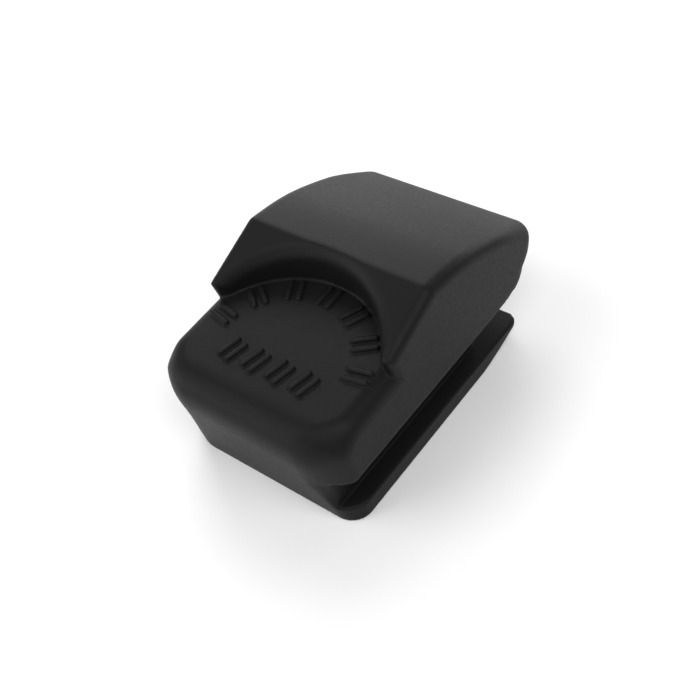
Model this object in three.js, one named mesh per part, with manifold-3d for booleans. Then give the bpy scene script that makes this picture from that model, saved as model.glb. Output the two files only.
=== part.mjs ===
// Slide-on rubber mute for a bowed string instrument.
//
// The mute is one rubber moulding. It is modelled as its three plain sections, which meet
// on the two level planes of its string slots, so that the slots stay open between them:
//   base_flange   the thin plate under the strings
//   centre_web    the neck between the two strings
//   body_block    the heavy block over the strings, with the arched push-off recess
//
// Units are millimetres. X is across the strings, +Y runs from the rounded nose back to
// the tail, +Z is up. The origin is the bottom centre of the whole moulding's box.

import * as THREE from 'three';
import * as BufferGeometryUtils from 'three/addons/utils/BufferGeometryUtils.js';
import Module from 'manifold-3d';

// Driving dimensions
const HALF_WIDTH = 7.0; // half of the block's width across the strings
const FLANGE_HALF_WIDTH = 7.1; // half of the flange's width
const FLANGE_THICKNESS = 1.33;
const SLOT_HEIGHT = 2.51; // string slot, from the flange's top to the block's underside
const WEB_HALF_WIDTH = 5.8; // the neck that fills the space between the two strings
const WEB_REAR = 16.0; // rear end of the neck
const WEB_REAR_RADIUS = 1.5; // plan radius of the neck's rear corners
const WEB_FRONT_RADIUS = 0.4; // plan radius of the neck's front corners

const FLANGE_REAR = 18.95; // rear end of the flange
const FLANGE_FRONT_RADIUS = 1.7; // plan radius of the flange's front corners
const FLANGE_REAR_RADIUS = 0.9; // plan radius of the flange's rear corners
const RAMP_START = 14.3; // where the flange's underside begins to rise to its tip
const RAMP_RISE = 1.1; // height of that rise at the rear end
const RAMP_HANDLE = 2.4; // how far the ramp stays close to level

const FRONT_LEAN = 0.209; // how far the front face comes forward for each unit that it rises
const NOSE_DOWN = 2.82; // how far the nose's curve reaches down the front face
const NOSE_BACK = 2.35; // how far it reaches back along the finger step
const NOSE_FULLNESS = 0.69; // share of both reaches at which its handles lie
const PLAN_FRONT = -1.25; // front line of the block's plan outline
const TAIL = { y: 21.4, z: 7.0 }; // rearmost point of the block
const TAIL_DROP = 2.5; // reach of the tail's curve below that point
const TAIL_RISE = 1.1; // reach of the tail's curve above that point
const UNDER_REAR = 15.3; // where the block's underside begins to curve up to the tail
const UNDER_HANDLE = 3.7; // reach of that curve at the underside
const BODY_FRONT_RADIUS = 2.9; // plan radius of the block's front corners
const REAR_CORNER = { x: 1.4, y: 1.8 }; // plan reach of the block's rear corners

const STEP_REAR = 5.25; // foot of the short wall behind the step
const STEP_HEIGHT = 8.53; // height of the finger step at that wall
const STEP_SLOPE = 0.06; // how much the step climbs towards the wall
const LIP = { y: 4.95, z: 9.7 }; // edge at the top of the wall
const RIDGE = { y: 9.6, z: 11.7, slope: -0.1 }; // highest edge of the block
const CROWN_FRONT = { y: 14.0, z: 10.9, slope: -0.3 }; // point on the long fall
const CROWN_REAR = { y: 18.55, z: 9.07, slope: -0.52 }; // point on the long fall
const CROWN_HANDLE = 1.5; // reach of the crown's curve at each of these points

const RECESS_RADIUS = 6.4; // arched recess cut into the upper front face
const RECESS_CENTRE_Y = 3.1; // centre of its arch
const RECESS_LEAN = THREE.MathUtils.degToRad(10); // how far its wall leans forward
const RECESS_LEAVE_Y = 4.4; // where its floor leaves the finger step
const RECESS_FALL = 0.03; // how much more its floor falls than the step does

const CURVE_STEPS = 10; // segments along each curved stretch of an outline
const ARCH_SEGMENTS = 72; // segments round the recess
const OVERCUT = 5; // how far cutting prisms reach past the moulding

const SLOT_FLOOR = FLANGE_THICKNESS;
const SLOT_ROOF = FLANGE_THICKNESS + SLOT_HEIGHT;
const CHIN_UNDER = -FRONT_LEAN * SLOT_ROOF; // the front face at the block's underside
// height at which the front face and the finger step would meet without the nose's curve
const NOSE_CORNER = (STEP_HEIGHT - STEP_SLOPE * STEP_REAR) / (1 + FRONT_LEAN * STEP_SLOPE);

const manifoldLibrary = await Module();
manifoldLibrary.setup();

// Conversions between three.js geometry and manifold solids

function toSolid(geometry) {
  const bare = geometry.clone();
  bare.deleteAttribute('normal');
  bare.deleteAttribute('uv');
  const merged = BufferGeometryUtils.mergeVertices(bare, 1e-4);
  return new manifoldLibrary.Manifold(new manifoldLibrary.Mesh({
    numProp: 3,
    vertProperties: new Float32Array(merged.attributes.position.array),
    triVerts: new Uint32Array(merged.index.array),
  }));
}

function toMesh(name, solid, material) {
  const data = solid.getMesh();
  const geometry = new THREE.BufferGeometry();
  geometry.setAttribute('position', new THREE.BufferAttribute(data.vertProperties, 3));
  geometry.setIndex(new THREE.BufferAttribute(data.triVerts, 1));
  geometry.computeVertexNormals();
  const mesh = new THREE.Mesh(geometry, material);
  mesh.name = name;
  return mesh;
}

// A side profile, drawn with Shape x = object Y and Shape y = object Z, swept across the width
function acrossWidth(profile, halfWidth) {
  const geometry = new THREE.ExtrudeGeometry(profile, {
    depth: 2 * halfWidth,
    bevelEnabled: false,
    curveSegments: CURVE_STEPS,
  });
  geometry.translate(0, 0, -halfWidth);
  geometry.rotateY(Math.PI / 2);
  geometry.rotateX(Math.PI / 2);
  return toSolid(geometry);
}

// A plan outline, drawn with Shape x = object X and Shape y = object Y, raised from low to high
function upwards(outline, low, high) {
  const geometry = new THREE.ExtrudeGeometry(outline, {
    depth: high - low,
    bevelEnabled: false,
    curveSegments: CURVE_STEPS,
  });
  geometry.translate(0, 0, low);
  return toSolid(geometry);
}

// A rectangle seen from above, symmetric about X = 0, with round front corners and rear
// corners that may reach further along Y than along X
function planOutline(halfWidth, front, rear, frontRadius, rearCorner) {
  const frontX = halfWidth - frontRadius;
  const frontY = front + frontRadius;
  const rearX = halfWidth - rearCorner.x;
  const rearY = rear - rearCorner.y;
  const half = Math.PI / 2;
  const outline = new THREE.Shape();
  outline.moveTo(-frontX, front);
  outline.lineTo(frontX, front);
  outline.absarc(frontX, frontY, frontRadius, -half, 0, false);
  outline.lineTo(halfWidth, rearY);
  outline.absellipse(rearX, rearY, rearCorner.x, rearCorner.y, 0, half, false);
  outline.lineTo(-rearX, rear);
  outline.absellipse(-rearX, rearY, rearCorner.x, rearCorner.y, half, Math.PI, false);
  outline.lineTo(-halfWidth, frontY);
  outline.absarc(-frontX, frontY, frontRadius, Math.PI, 3 * half, false);
  return outline;
}

function roundCorner(radius) {
  return { x: radius, y: radius };
}

// The point that lies a given run along +Y from a profile point, on that point's slope
function alongSlope(point, run) {
  return new THREE.Vector2(point.y + run, point.z + run * point.slope);
}

// The front face at a height
function frontAt(height) {
  return -FRONT_LEAN * height;
}

// The finger step's surface at a distance from the flange's front
function stepAt(y) {
  return STEP_HEIGHT + STEP_SLOPE * (y - STEP_REAR);
}

function baseFlange() {
  const side = new THREE.Shape();
  side.moveTo(0, 0);
  side.lineTo(RAMP_START, 0);
  side.quadraticCurveTo(RAMP_START + RAMP_HANDLE, RAMP_RISE / 4, FLANGE_REAR, RAMP_RISE);
  side.lineTo(FLANGE_REAR, SLOT_FLOOR);
  side.lineTo(frontAt(SLOT_FLOOR), SLOT_FLOOR);
  const plan = planOutline(
    FLANGE_HALF_WIDTH,
    frontAt(SLOT_FLOOR),
    FLANGE_REAR,
    FLANGE_FRONT_RADIUS,
    roundCorner(FLANGE_REAR_RADIUS),
  );
  return acrossWidth(side, FLANGE_HALF_WIDTH).intersect(upwards(plan, 0, SLOT_FLOOR));
}

function centreWeb() {
  const side = new THREE.Shape();
  side.moveTo(frontAt(SLOT_FLOOR), SLOT_FLOOR);
  side.lineTo(WEB_REAR, SLOT_FLOOR);
  side.lineTo(WEB_REAR, SLOT_ROOF);
  side.lineTo(CHIN_UNDER, SLOT_ROOF);
  const rearCorner = roundCorner(WEB_REAR_RADIUS);
  const neck = planOutline(WEB_HALF_WIDTH, CHIN_UNDER, WEB_REAR, WEB_FRONT_RADIUS, rearCorner);
  return acrossWidth(side, HALF_WIDTH).intersect(upwards(neck, SLOT_FLOOR, SLOT_ROOF));
}

function bodyProfile() {
  const side = new THREE.Shape();
  const curveTo = (first, second, end) => {
    side.bezierCurveTo(first.x, first.y, second.x, second.y, end.y, end.z);
  };
  const at = (y, z) => new THREE.Vector2(y, z);
  side.moveTo(CHIN_UNDER, SLOT_ROOF);
  side.lineTo(UNDER_REAR, SLOT_ROOF);
  // round the tail and up the long crown to the ridge
  curveTo(at(UNDER_REAR + UNDER_HANDLE, SLOT_ROOF), at(TAIL.y, TAIL.z - TAIL_DROP), TAIL);
  curveTo(at(TAIL.y, TAIL.z + TAIL_RISE), alongSlope(CROWN_REAR, CROWN_HANDLE), CROWN_REAR);
  curveTo(alongSlope(CROWN_REAR, -CROWN_HANDLE), alongSlope(CROWN_FRONT, CROWN_HANDLE), CROWN_FRONT);
  curveTo(alongSlope(CROWN_FRONT, -CROWN_HANDLE), alongSlope(RIDGE, CROWN_HANDLE), RIDGE);
  // down the front face, the short wall and the finger step
  side.lineTo(LIP.y, LIP.z);
  side.lineTo(STEP_REAR, STEP_HEIGHT);
  const onStep = (run) => at(frontAt(NOSE_CORNER) + run, stepAt(frontAt(NOSE_CORNER) + run));
  const onFace = (drop) => at(frontAt(NOSE_CORNER - drop), NOSE_CORNER - drop);
  const start = onStep(NOSE_BACK);
  const end = onFace(NOSE_DOWN);
  side.lineTo(start.x, start.y);
  // round the nose and down to the leaning front face
  curveTo(
    onStep(NOSE_BACK * (1 - NOSE_FULLNESS)),
    onFace(NOSE_DOWN * (1 - NOSE_FULLNESS)),
    { y: end.x, z: end.y },
  );
  return side;
}

function recessCutter() {
  // A cylinder that leans forward a little, standing on a floor that leaves the finger step
  // just in front of the wall and falls slightly below the step's own line towards the back
  const floorAt = (y) => stepAt(y) - RECESS_FALL * (y - RECESS_LEAVE_Y);
  const arch = new THREE.CylinderGeometry(RECESS_RADIUS, RECESS_RADIUS, 2 * OVERCUT, ARCH_SEGMENTS);
  arch.rotateX(Math.PI / 2);
  arch.rotateX(RECESS_LEAN);
  arch.translate(0, RECESS_CENTRE_Y, floorAt(RECESS_CENTRE_Y));
  const aboveFloor = new THREE.Shape();
  aboveFloor.moveTo(PLAN_FRONT - OVERCUT, floorAt(PLAN_FRONT - OVERCUT));
  aboveFloor.lineTo(TAIL.y, floorAt(TAIL.y));
  aboveFloor.lineTo(TAIL.y, RIDGE.z + OVERCUT);
  aboveFloor.lineTo(PLAN_FRONT - OVERCUT, RIDGE.z + OVERCUT);
  return toSolid(arch).intersect(acrossWidth(aboveFloor, HALF_WIDTH));
}

function bodyBlock() {
  const plan = planOutline(HALF_WIDTH, PLAN_FRONT, TAIL.y, BODY_FRONT_RADIUS, REAR_CORNER);
  return acrossWidth(bodyProfile(), HALF_WIDTH)
    .intersect(upwards(plan, 0, RIDGE.z + OVERCUT))
    .subtract(recessCutter());
}

const rubber = { color: 0x1d1d1e, roughness: 0.55, metalness: 0.0 };

const mute = new THREE.Group();
mute.add(toMesh('base_flange', baseFlange(), new THREE.MeshStandardMaterial(rubber)));
mute.add(toMesh('centre_web', centreWeb(), new THREE.MeshStandardMaterial(rubber)));
mute.add(toMesh('body_block', bodyBlock(), new THREE.MeshStandardMaterial(rubber)));
const box = new THREE.Box3().setFromObject(mute);
mute.position.y = -(box.min.y + box.max.y) / 2;

export default mute;
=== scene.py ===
"""Slide-on rubber mute for a bowed string instrument, lying on its flat flange.

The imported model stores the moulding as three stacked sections. Here it is one rubber piece
with the moulding's round edges, its arched recess and its raised grip ribs. The solid is
written as a distance field, in millimetres, and turned into one closed mesh.
"""

import math

import bpy
import numpy as np
from mathutils import Matrix, Vector


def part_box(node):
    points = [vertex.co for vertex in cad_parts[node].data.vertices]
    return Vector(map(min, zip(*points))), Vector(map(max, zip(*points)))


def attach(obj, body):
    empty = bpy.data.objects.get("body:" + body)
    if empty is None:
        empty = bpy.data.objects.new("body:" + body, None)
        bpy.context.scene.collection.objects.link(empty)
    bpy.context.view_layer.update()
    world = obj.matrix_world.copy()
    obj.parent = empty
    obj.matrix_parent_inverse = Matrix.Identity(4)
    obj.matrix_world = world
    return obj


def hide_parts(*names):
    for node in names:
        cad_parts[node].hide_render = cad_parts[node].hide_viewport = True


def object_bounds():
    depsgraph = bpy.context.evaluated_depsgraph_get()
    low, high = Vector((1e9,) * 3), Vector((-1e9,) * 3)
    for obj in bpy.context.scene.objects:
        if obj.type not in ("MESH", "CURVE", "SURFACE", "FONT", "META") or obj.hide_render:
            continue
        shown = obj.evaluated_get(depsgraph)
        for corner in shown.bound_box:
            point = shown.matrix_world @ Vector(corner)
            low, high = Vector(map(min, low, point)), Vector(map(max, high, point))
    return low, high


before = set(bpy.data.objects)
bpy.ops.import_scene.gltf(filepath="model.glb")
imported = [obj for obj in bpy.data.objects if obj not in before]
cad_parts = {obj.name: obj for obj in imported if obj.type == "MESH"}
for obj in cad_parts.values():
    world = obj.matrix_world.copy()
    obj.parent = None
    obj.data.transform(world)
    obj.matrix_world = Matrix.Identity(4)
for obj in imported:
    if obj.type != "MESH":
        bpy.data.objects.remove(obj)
CAD_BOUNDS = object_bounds()

MM = 0.001

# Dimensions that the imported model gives, in millimetres
FLANGE_LOW, FLANGE_HIGH = (np.array(corner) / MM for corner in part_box("base_flange"))
WEB_LOW, WEB_HIGH = (np.array(corner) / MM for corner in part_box("centre_web"))
BLOCK_LOW, BLOCK_HIGH = (np.array(corner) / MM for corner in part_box("body_block"))
HALF_WIDTH = BLOCK_HIGH[0]
FLANGE_HALF_WIDTH = FLANGE_HIGH[0]
WEB_HALF_WIDTH = WEB_HIGH[0]
SLOT_FLOOR = WEB_LOW[2]
SLOT_ROOF = BLOCK_LOW[2]
FRONT_LEAN = 0.209  # the front face comes forward by this share as it rises
FRONT = FLANGE_LOW[1] + FRONT_LEAN * SLOT_FLOOR  # y below counts from the lowest front edge
FLANGE_REAR = FLANGE_HIGH[1] - FRONT
WEB_REAR = WEB_HIGH[1] - FRONT
NOSE_Y = BLOCK_LOW[1] - FRONT
TAIL_Y = BLOCK_HIGH[1] - FRONT
RIDGE_Z = BLOCK_HIGH[2]

# Side profile: (y, z), within 0.1 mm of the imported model's
STEP_REAR = (5.25, 8.53)
STEP_SLOPE = 0.06
LIP = (4.95, 9.7)
RIDGE_Y = 9.6
CROWN_FRONT = (14.0, 10.9)
CROWN_REAR = (20.6, 8.05)
TAIL_Z = 7.0
UNDER_REAR = 15.3
RIDGE_SLOPE, CROWN_FRONT_SLOPE, CROWN_REAR_SLOPE = -0.1, -0.32, -0.55

# Reach of each curve's handles along the side profile
CROWN_HANDLE = 1.5  # between the ridge and the front of the crown
CROWN_REAR_HANDLE = 2.2  # between the front and the rear of the crown
CORNER_HANDLE, TAIL_HANDLE = 0.64, 0.49  # the corner over the tail: down the crown, and up the tail
TAIL_DROP, UNDER_HANDLE = 2.5, 3.7  # the curve under the tail
NOSE_DOWN, NOSE_BACK = 2.82, 2.35  # the nose: down the front face and back along the step
NOSE_FULLNESS = 0.69
CURVE_STEPS = 16

# Rounding radii
CORNER_FRONT = 2.95  # upright corners of the nose
CORNER_FLANGE = (2.4, 1.4)  # upright front corners at the flange's underside, on -X and on +X
EDGE_STEP = 1.26  # edges of the finger step
STEP_SOFT_Y, CORNER_FULL_Y = 1.75, -0.84  # where those edges grow into the upright corners
EDGE_TOP = 0.7  # long upper edges of the block
EDGE_TAIL = 1.35  # the same edges round the end of the tail
TAIL_SOFT_Y = 17.0  # where those edges begin to grow softer
EDGE_UNDER = 0.12  # edges at the slots and round the underside
EDGE_FADE = (0.35, 1.0)  # above the slot: where the block's edges begin to soften, and over what height
FLANGE_CORNER_REAR = 0.9
ROOT = 0.1  # concave rounding where sections meet
WEB_EDGE = 0.65  # upright front edges of the neck
WEB_CORNER_REAR = 1.5

# The flange's underside rises towards the rear
RAMP_START, RAMP_RISE, RAMP_POWER = 14.3, 1.15, 1.3
RAMP_SCALE = 0.97  # turns its height into a distance

# How far a solid runs on past its visible faces
OVERRUN, OVERRUN_REAR = 4, 5  # the front solid, up and down, and back inside the rest
NECK_OVERLAP = 0.4  # the neck, into the flange and into the block

# Arched recess above the finger step
RECESS_RADIUS = 6.4
RECESS_CENTRE_Y = 3.1
RECESS_LEAN = math.radians(10.0)
RECESS_SINK = 0.35  # how far the cut runs down below the step
RECESS_RIM = 0.8
RECESS_FOOT = 0.2  # concave rounding where its wall and the short wall meet the step
FOOT_FADE = 0.5  # depth below the step over which that rounding dies out
FOOT_LEAST = 0.001

# Raised ribs on the finger step: seven pairs on an arc and four slanted pairs in a row
RIB_HEIGHT = 0.22
RIB_HALF_WIDTH = 0.17
RIB_HALF_LENGTH = 0.68
RIB_GAP = 0.36
RIB_EDGE = 0.045
ARC_RADIUS = 5.25
ARC_CENTRE_Y = 3.15
ARC_FIRST, ARC_LAST, ARC_COUNT = 12.0, 168.0, 7
ROW_Y = 2.3
ROW_HALF_LENGTH, ROW_COUNT = 2.75, 4
ROW_SLANT = math.radians(-14.0)

# Mesh spacing, fine at the ribs and at the rising underside
FINE, COARSE = 0.092, 0.2
FINE_X = ((-6.2, 6.2),)
FINE_Y = ((1.3, 9.4),)
FINE_Z = ((-0.2, 1.5), (8.0, 9.1))
MARGIN = 0.4  # free space round the solid
SETTLE_ROUNDS = 3
SETTLE_REACH = 0.004  # half the span of the slope's finite difference
SETTLE_LIMIT = 0.08  # longest move in one round
LEAST_SLOPE = 0.25  # keeps a move short where the field is nearly flat
FAR, TINY = 1e9, 1e-12


# Distance field helpers: negative inside, positive outside

def meet(first, second, radius):
    """Common part of two solids, with a round convex edge."""
    corner = np.hypot(np.maximum(first + radius, 0), np.maximum(second + radius, 0))
    return np.minimum(np.maximum(first, second), -radius) + corner


def join(first, second, radius):
    """Both solids together, with a round concave edge."""
    return -meet(-first, -second, radius)


def bezier(start, handle_a, handle_b, end):
    """Points along a cubic curve, without its start."""
    points = [np.array(point, float) for point in (start, handle_a, handle_b, end)]
    share = np.linspace(0, 1, CURVE_STEPS + 1)[1:, None]
    rest = 1 - share
    weights = (rest**3, 3 * rest**2 * share, 3 * rest * share**2, share**3)
    return [tuple(row) for row in sum(w * p for w, p in zip(weights, points))]


def along(point, slope, run):
    """The point that lies run further back on a line with this slope."""
    return (point[0] + run, point[1] + run * slope)


def outline_distance(outline, y, z):
    """Signed distance to a closed outline in the y-z plane."""
    nearest = np.full(np.broadcast(y, z).shape, FAR)
    inside = np.zeros(nearest.shape, bool)
    for (ay, az), (by, bz) in zip(outline, outline[1:] + outline[:1]):
        ey, ez = by - ay, bz - az
        length = ey * ey + ez * ez
        if length < TINY:
            continue
        share = np.clip(((y - ay) * ey + (z - az) * ez) / length, 0, 1)
        nearest = np.minimum(nearest, np.hypot(y - ay - share * ey, z - az - share * ez))
        if ez != 0:
            crosses = (az > z) != (bz > z)
            inside ^= crosses & (y < ay + (z - az) * ey / ez)
    return np.where(inside, -nearest, nearest)


# Profiles

WALL_LEAN = (LIP[0] - STEP_REAR[0]) / (LIP[1] - STEP_REAR[1])
RIDGE = (RIDGE_Y, RIDGE_Z)
NOSE_CORNER = (STEP_REAR[1] - STEP_REAR[0] * STEP_SLOPE) / (1 + FRONT_LEAN * STEP_SLOPE)
TAIL = (TAIL_Y, TAIL_Z)
INNER = FLANGE_REAR + OVERRUN_REAR


def step_z(y):
    """Height of the finger step's plane."""
    return STEP_REAR[1] + (y - STEP_REAR[0]) * STEP_SLOPE


def upper_profile():
    """The high rear part of the block, from the short wall back to the tail."""
    under = (UNDER_REAR, SLOT_ROOF)
    outline = [(STEP_REAR[0] - WALL_LEAN * (STEP_REAR[1] - SLOT_ROOF), SLOT_ROOF), under]
    outline += bezier(under, along(under, 0, UNDER_HANDLE), (TAIL_Y, TAIL_Z - TAIL_DROP), TAIL)
    outline += bezier(
        TAIL,
        (TAIL_Y, TAIL_Z + TAIL_HANDLE),
        along(CROWN_REAR, CROWN_REAR_SLOPE, CORNER_HANDLE),
        CROWN_REAR,
    )
    outline += bezier(
        CROWN_REAR,
        along(CROWN_REAR, CROWN_REAR_SLOPE, -CROWN_REAR_HANDLE),
        along(CROWN_FRONT, CROWN_FRONT_SLOPE, CROWN_REAR_HANDLE),
        CROWN_FRONT,
    )
    outline += bezier(
        CROWN_FRONT,
        along(CROWN_FRONT, CROWN_FRONT_SLOPE, -CROWN_HANDLE),
        along(RIDGE, RIDGE_SLOPE, CROWN_HANDLE),
        RIDGE,
    )
    return outline + [LIP]


def on_step(run):
    """A point on the step, counted back from where the front face would meet it."""
    y = run - FRONT_LEAN * NOSE_CORNER
    return (y, step_z(y))


def on_face(drop):
    """A point on the front face, counted down from where it would meet the step."""
    z = NOSE_CORNER - drop
    return (-FRONT_LEAN * z, z)


def front_profile():
    """The leaning front face, the nose and the finger step, run back inside the rest."""
    outline = [(INNER, -OVERRUN), (INNER, step_z(INNER)), on_step(NOSE_BACK)]
    outline += bezier(
        on_step(NOSE_BACK),
        on_step(NOSE_BACK * (1 - NOSE_FULLNESS)),
        on_face(NOSE_DOWN * (1 - NOSE_FULLNESS)),
        on_face(NOSE_DOWN),
    )
    return outline + [on_face(NOSE_CORNER + OVERRUN)]


UPPER = upper_profile()
FRONT_OUTLINE = front_profile()


def smooth(share):
    """Eased step from 0 to 1."""
    share = np.clip(share, 0, 1)
    return share * share * (3 - 2 * share)


def front_solid(x, side, y, z):
    """Everything below the finger step and behind the front face, with round upright corners."""
    growth = smooth((STEP_SOFT_Y - y) / (STEP_SOFT_Y - CORNER_FULL_Y))
    step_edge = EDGE_STEP + (CORNER_FRONT - EDGE_STEP) * growth
    foot_edge = np.where(x < 0, *CORNER_FLANGE)
    low_edge = foot_edge + (CORNER_FRONT - foot_edge) * np.clip(z / SLOT_ROOF, 0, 1)
    edge = np.where(z < SLOT_ROOF, low_edge, step_edge)
    return meet(outline_distance(FRONT_OUTLINE, y, z), side, edge)


def ribs(x, run):
    """Plan distance to the nearest grip rib on the step, with run counted along the step."""
    distance = np.full(np.broadcast(x, run).shape, FAR)
    marks = []
    for k in range(ARC_COUNT):
        turn = math.radians(ARC_FIRST + (ARC_LAST - ARC_FIRST) * k / (ARC_COUNT - 1))
        mark_x, mark_y = ARC_RADIUS * math.cos(turn), ARC_CENTRE_Y + ARC_RADIUS * math.sin(turn)
        marks.append((mark_x, mark_y, turn - math.pi / 2))
    for k in range(ROW_COUNT):
        marks.append((ROW_HALF_LENGTH * (2 * k / (ROW_COUNT - 1) - 1), ROW_Y, ROW_SLANT))
    for centre_x, centre_y, turn in marks:
        cos, sin = math.cos(turn), math.sin(turn)
        across = (x - centre_x) * cos + (run - centre_y) * sin
        length = -(x - centre_x) * sin + (run - centre_y) * cos
        bar_x = np.abs(across) - RIB_GAP
        over = np.maximum(np.abs(length) - RIB_HALF_LENGTH, 0)
        distance = np.minimum(distance, np.hypot(bar_x, over) - RIB_HALF_WIDTH)
    return distance


def rear_block(x, y, z):
    """The high part of the block, with the arched recess cut into its front."""
    edge = EDGE_TOP + (EDGE_TAIL - EDGE_TOP) * smooth((y - TAIL_SOFT_Y) / (TAIL_Y - TAIL_SOFT_Y))
    fade = np.clip((z - SLOT_ROOF - EDGE_FADE[0]) / EDGE_FADE[1], 0, 1)
    edge = EDGE_UNDER + (edge - EDGE_UNDER) * fade
    solid = meet(outline_distance(UPPER, y, z), np.abs(x) - HALF_WIDTH, edge)
    above = (z - step_z(y)) * math.cos(math.atan(STEP_SLOPE))
    lift = z - step_z(RECESS_CENTRE_Y)
    axis_y = (y - RECESS_CENTRE_Y) * math.cos(RECESS_LEAN) + lift * math.sin(RECESS_LEAN)
    cut = np.maximum(np.hypot(x, axis_y) - RECESS_RADIUS, -above - RECESS_SINK)
    return meet(solid, -cut, RECESS_RIM)


def front_and_flange(x, y, z):
    """The low front of the block, the neck and the flange, behind one common front face."""
    low_block = np.maximum(SLOT_ROOF - z, y - UNDER_REAR)
    neck = meet(np.abs(x) - WEB_HALF_WIDTH, y - WEB_REAR, WEB_CORNER_REAR)
    neck = np.maximum(neck, np.maximum(SLOT_FLOOR - NECK_OVERLAP - z, z - SLOT_ROOF - NECK_OVERLAP))
    plate = meet(np.abs(x) - FLANGE_HALF_WIDTH, y - FLANGE_REAR, FLANGE_CORNER_REAR)
    plate = np.maximum(z - SLOT_FLOOR, plate)
    sections = join(join(low_block, neck, ROOT), plate, ROOT)
    share = np.clip((z - SLOT_FLOOR) / (SLOT_ROOF - SLOT_FLOOR), 0, 1)
    width = FLANGE_HALF_WIDTH + (HALF_WIDTH - FLANGE_HALF_WIDTH) * share
    edge = EDGE_UNDER + (WEB_EDGE - EDGE_UNDER) * np.sin(math.pi * share)
    solid = meet(sections, front_solid(x, np.abs(x) - width, y, z), edge)
    run = np.clip((y - RAMP_START) / (FLANGE_REAR - RAMP_START), 0, None)
    return meet(solid, (RAMP_RISE * run**RAMP_POWER - z) * RAMP_SCALE, EDGE_UNDER)


def mute(x, y, z):
    """The whole moulding, in millimetres; y counts from the flange's lowest front edge."""
    above = z - step_z(y)
    blend = RECESS_FOOT * smooth((above + FOOT_FADE) / FOOT_FADE) + FOOT_LEAST
    solid = join(front_and_flange(x, y, z), rear_block(x, y, z), blend)
    rib = meet(ribs(x, y), np.abs(above) - RIB_HEIGHT, RIB_EDGE)
    return join(solid, rib, RIB_EDGE)


# Meshing

def spaced(low, high, fine):
    """Grid lines from low to high, closer together inside the stretches listed in fine."""
    lines = [low]
    while lines[-1] < high:
        near = any(start <= lines[-1] < end for start, end in fine)
        lines.append(lines[-1] + (FINE if near else COARSE))
    return np.array(lines)


def surface_nets(values, lines):
    """One vertex in every cell that the surface crosses, one quad on every crossed edge."""
    inside = values < 0
    cell_shape = tuple(n - 1 for n in values.shape)
    count = np.zeros(cell_shape, int)
    corners = [(i, j, k) for k in (0, 1) for j in (0, 1) for i in (0, 1)]
    for i, j, k in corners:
        count += inside[i:i + cell_shape[0], j:j + cell_shape[1], k:k + cell_shape[2]]
    crossed = (count > 0) & (count < 8)
    index = np.full(cell_shape, -1)
    cells = np.argwhere(crossed)
    index[crossed] = np.arange(len(cells))
    total = np.zeros((len(cells), 3))
    hits = np.zeros(len(cells))
    for a, first in enumerate(corners):
        for second in corners[a + 1:]:
            step = np.subtract(second, first)
            if np.abs(step).sum() != 1:
                continue
            va = values[tuple((cells + first).T)]
            vb = values[tuple((cells + second).T)]
            hit = (va < 0) != (vb < 0)
            share = va[hit] / (va[hit] - vb[hit])
            total[hit] += np.array(first) + share[:, None] * step
            hits[hit] += 1
    local = total / hits[:, None]
    points = np.empty_like(local)
    for axis in range(3):
        start = lines[axis][cells[:, axis]]
        points[:, axis] = start + local[:, axis] * (lines[axis][cells[:, axis] + 1] - start)
    quads = []
    for axis in range(3):
        low = [slice(None)] * 3
        high = [slice(None)] * 3
        low[axis] = slice(0, -1)
        high[axis] = slice(1, None)
        before = inside[tuple(low)]
        edges = np.argwhere(before != inside[tuple(high)])
        others = [k for k in range(3) if k != axis]
        forward = before[tuple(edges.T)]
        if axis == 1:
            forward = ~forward
        ring = []
        for du, dv in ((-1, -1), (0, -1), (0, 0), (-1, 0)):
            cell = edges.copy()
            cell[:, others[0]] += du
            cell[:, others[1]] += dv
            ring.append(index[tuple(cell.T)])
        quad = np.stack(ring, 1)
        quads.append(np.where(forward[:, None], quad, quad[:, ::-1]))
    return points, np.concatenate(quads)


def settle(points, field, rounds):
    """Moves points onto the field's zero surface."""
    reach = SETTLE_REACH
    for _ in range(rounds):
        x, y, z = points.T
        value = field(x, y, z)
        slope = np.stack([
            field(x + reach, y, z) - field(x - reach, y, z),
            field(x, y + reach, z) - field(x, y - reach, z),
            field(x, y, z + reach) - field(x, y, z - reach),
        ], 1) / (2 * reach)
        size = np.maximum((slope**2).sum(1), LEAST_SLOPE)
        move = -(value / size)[:, None] * slope
        length = np.linalg.norm(move, axis=1)
        move *= np.minimum(1, SETTLE_LIMIT / np.maximum(length, TINY))[:, None]
        points = points + move
    return points


def build_mute():
    """The moulding as one closed mesh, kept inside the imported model's box."""
    x_lines = spaced(-FLANGE_HALF_WIDTH - MARGIN, FLANGE_HALF_WIDTH + MARGIN, FINE_X)
    y_lines = spaced(NOSE_Y - MARGIN, TAIL_Y + MARGIN, FINE_Y)
    z_lines = spaced(-MARGIN, RIDGE_Z + MARGIN, FINE_Z)
    grid = (x_lines[:, None, None], y_lines[None, :, None], z_lines[None, None, :])
    points, quads = surface_nets(mute(*grid), (x_lines, y_lines, z_lines))
    points = settle(points, mute, SETTLE_ROUNDS)
    points[:, 1] += FRONT
    low, high = (np.array(corner) / MM for corner in CAD_BOUNDS)
    points = np.clip(points, low, high)
    mesh = bpy.data.meshes.new("mute_moulding")
    mesh.from_pydata((points * MM).tolist(), [], quads.tolist())
    mesh.update()
    mesh.shade_smooth()
    piece = bpy.data.objects.new("mute_moulding", mesh)
    bpy.context.scene.collection.objects.link(piece)
    return piece


# Materials

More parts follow.
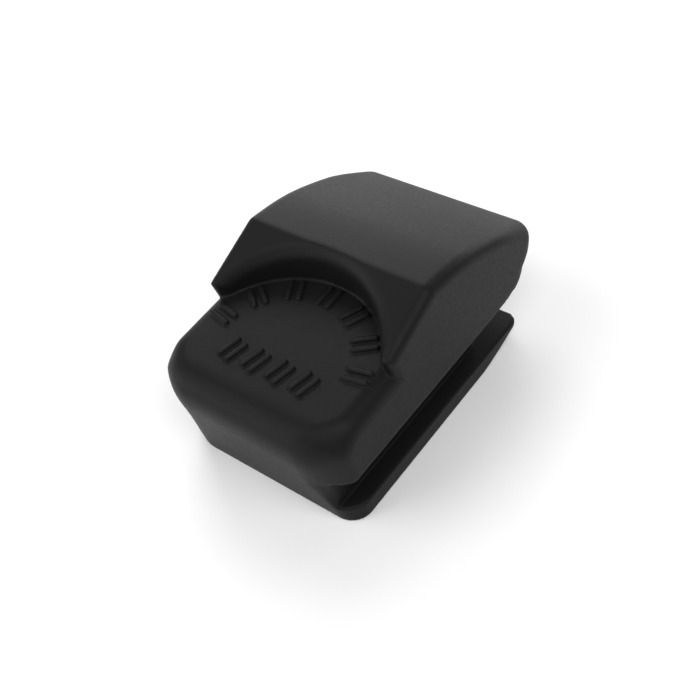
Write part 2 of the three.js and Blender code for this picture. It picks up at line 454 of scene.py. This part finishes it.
RUBBER_DARK, RUBBER_LIGHT = (0.0073, 0.0073, 0.0075, 1), (0.0093, 0.0093, 0.0095, 1)
RUBBER_ROUGHNESS = (0.43, 0.51)
RUBBER_SPECULAR = 0.108
CLOUD_SCALE, CLOUD_DETAIL = 220.0, 3.0  # slow change of tone, about 5 mm across
GRAIN_SCALE, GRAIN_DETAIL = 5200.0, 2.0  # matt mould texture, about 0.2 mm across
GRAIN_SPAN = (0.3, 0.7)  # part of the noise's range that the roughness uses
GRAIN_STRENGTH, GRAIN_DEPTH = 0.25, 0.01 * MM
FLOOR_DARK, FLOOR_LIGHT = (0.93, 0.93, 0.93, 1), (0.95, 0.95, 0.95, 1)
FLOOR_ROUGHNESS, FLOOR_SPECULAR, FLOOR_SCALE = 0.9, 0.1, 40.0
MIX_FACTOR, MIX_FIRST, MIX_SECOND, MIX_RESULT = 0, 6, 7, 2  # a colour Mix node's sockets


def new_material(name):
    """A material with its nodes, its links and its shader."""
    material = bpy.data.materials.new(name)
    material.use_nodes = True
    tree = material.node_tree
    return material, tree.nodes, tree.links, tree.nodes["Principled BSDF"]


def add_noise(nodes, scale):
    node = nodes.new("ShaderNodeTexNoise")
    node.inputs["Scale"].default_value = scale
    return node


def tint(nodes, links, noise, shader, first, second):
    """Mixes two tones over the surface by the noise."""
    tone = nodes.new("ShaderNodeMix")
    tone.data_type = "RGBA"
    tone.inputs[MIX_FIRST].default_value = first
    tone.inputs[MIX_SECOND].default_value = second
    links.new(noise.outputs["Fac"], tone.inputs[MIX_FACTOR])
    links.new(tone.outputs[MIX_RESULT], shader.inputs["Base Color"])


def rubber_material():
    material, nodes, links, shader = new_material("moulded_black_rubber")
    shader.inputs["Specular IOR Level"].default_value = RUBBER_SPECULAR
    place = nodes.new("ShaderNodeTexCoord")
    cloud = add_noise(nodes, CLOUD_SCALE)
    grain = add_noise(nodes, GRAIN_SCALE)
    for noise, detail in ((cloud, CLOUD_DETAIL), (grain, GRAIN_DETAIL)):
        noise.inputs["Detail"].default_value = detail
        links.new(place.outputs["Object"], noise.inputs["Vector"])
    tint(nodes, links, cloud, shader, RUBBER_DARK, RUBBER_LIGHT)
    span = nodes.new("ShaderNodeMapRange")
    for socket, value in zip(("From Min", "From Max", "To Min", "To Max"), GRAIN_SPAN + RUBBER_ROUGHNESS):
        span.inputs[socket].default_value = value
    links.new(grain.outputs["Fac"], span.inputs["Value"])
    links.new(span.outputs["Result"], shader.inputs["Roughness"])
    bump = nodes.new("ShaderNodeBump")
    bump.inputs["Strength"].default_value = GRAIN_STRENGTH
    bump.inputs["Distance"].default_value = GRAIN_DEPTH
    links.new(grain.outputs["Fac"], bump.inputs["Height"])
    links.new(bump.outputs["Normal"], shader.inputs["Normal"])
    return material


def floor_material():
    material, nodes, links, shader = new_material("pale_floor")
    shader.inputs["Roughness"].default_value = FLOOR_ROUGHNESS
    shader.inputs["Specular IOR Level"].default_value = FLOOR_SPECULAR
    tint(nodes, links, add_noise(nodes, FLOOR_SCALE), shader, FLOOR_DARK, FLOOR_LIGHT)
    return material


# The piece

moulding = build_mute()
moulding.data.materials.append(rubber_material())
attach(moulding, "root")
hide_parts("base_flange", "centre_web", "body_block")


# Floor, lights and camera

AIM = Vector((0.59, 8.72 + FRONT, 4.1)) * MM
VIEW_AZIMUTH = math.radians(44.36)
VIEW_ELEVATION = math.radians(46.31)
VIEW_ROLL = math.radians(-10.78)
VIEW_DISTANCE = 63.4 * MM
LENS, SENSOR = 50.6, 36.0
CLIP_START = 0.005
FLOOR_HALF = 3.0  # metres
LIGHT_DISTANCE = 0.5
LOW_BOX, SOFT_BOX = (0.35, 0.16), (0.3, 0.3)  # metres, width and height
WORLD_STRENGTH = 0.2

# Name, azimuth, elevation, size and watts
LIGHTS = (
    ("rear_low_box", 180.0, 12.0, LOW_BOX, 0.68),
    ("rear_left_low_box", 225.0, 12.0, LOW_BOX, 0.65),
    ("rear_left_soft_box", 225.0, 45.0, SOFT_BOX, 0.92),
    ("front_low_box", 0.0, 12.0, LOW_BOX, 0.4),
    ("front_left_low_box", 315.0, 12.0, LOW_BOX, 0.7),
    ("front_left_soft_box", 315.0, 45.0, SOFT_BOX, 0.75),
    ("front_right_soft_box", 45.0, 60.0, SOFT_BOX, 0.7),
    ("right_soft_box", 90.0, 45.0, SOFT_BOX, 0.8),
)


def direction(azimuth, elevation):
    """Unit vector towards the viewer; azimuth 0 is the nose's side, growing towards +X."""
    level = math.cos(elevation)
    return Vector((math.sin(azimuth) * level, -math.cos(azimuth) * level, math.sin(elevation)))


def add_floor():
    mesh = bpy.data.meshes.new("floor")
    corners = [(x * FLOOR_HALF, y * FLOOR_HALF, 0) for x, y in ((-1, -1), (1, -1), (1, 1), (-1, 1))]
    mesh.from_pydata(corners, [], [(0, 1, 2, 3)])
    floor = bpy.data.objects.new("floor", mesh)
    floor.data.materials.append(floor_material())
    bpy.context.scene.collection.objects.link(floor)


def add_light(name, azimuth, elevation, size, watts):
    data = bpy.data.lights.new(name, "AREA")
    data.shape = "RECTANGLE"
    data.size, data.size_y = size
    data.energy = watts
    light = bpy.data.objects.new(name, data)
    towards = direction(math.radians(azimuth), math.radians(elevation))
    light.location = AIM + towards * LIGHT_DISTANCE
    light.rotation_euler = towards.to_track_quat("Z", "Y").to_euler()
    bpy.context.scene.collection.objects.link(light)


def add_camera():
    data = bpy.data.cameras.new("camera")
    data.lens = LENS
    data.sensor_width = SENSOR
    data.clip_start = CLIP_START
    camera = bpy.data.objects.new("camera", data)
    back = direction(VIEW_AZIMUTH, VIEW_ELEVATION)
    right = Vector((0, 0, 1)).cross(back).normalized()
    up = back.cross(right)
    turn = Matrix((right, up, back)).transposed().to_4x4() @ Matrix.Rotation(VIEW_ROLL, 4, "Z")
    camera.matrix_world = Matrix.Translation(AIM + back * VIEW_DISTANCE) @ turn
    bpy.context.scene.collection.objects.link(camera)
    bpy.context.scene.camera = camera


def set_world():
    world = bpy.data.worlds.new("studio")
    world.use_nodes = True
    background = world.node_tree.nodes["Background"]
    background.inputs["Color"].default_value = (1, 1, 1, 1)
    background.inputs["Strength"].default_value = WORLD_STRENGTH
    bpy.context.scene.world = world


add_floor()
add_camera()
set_world()
for light_spec in LIGHTS:
    add_light(*light_spec)
bpy.context.scene.view_settings.view_transform = "Standard"
bpy.context.scene.view_settings.look = "None"
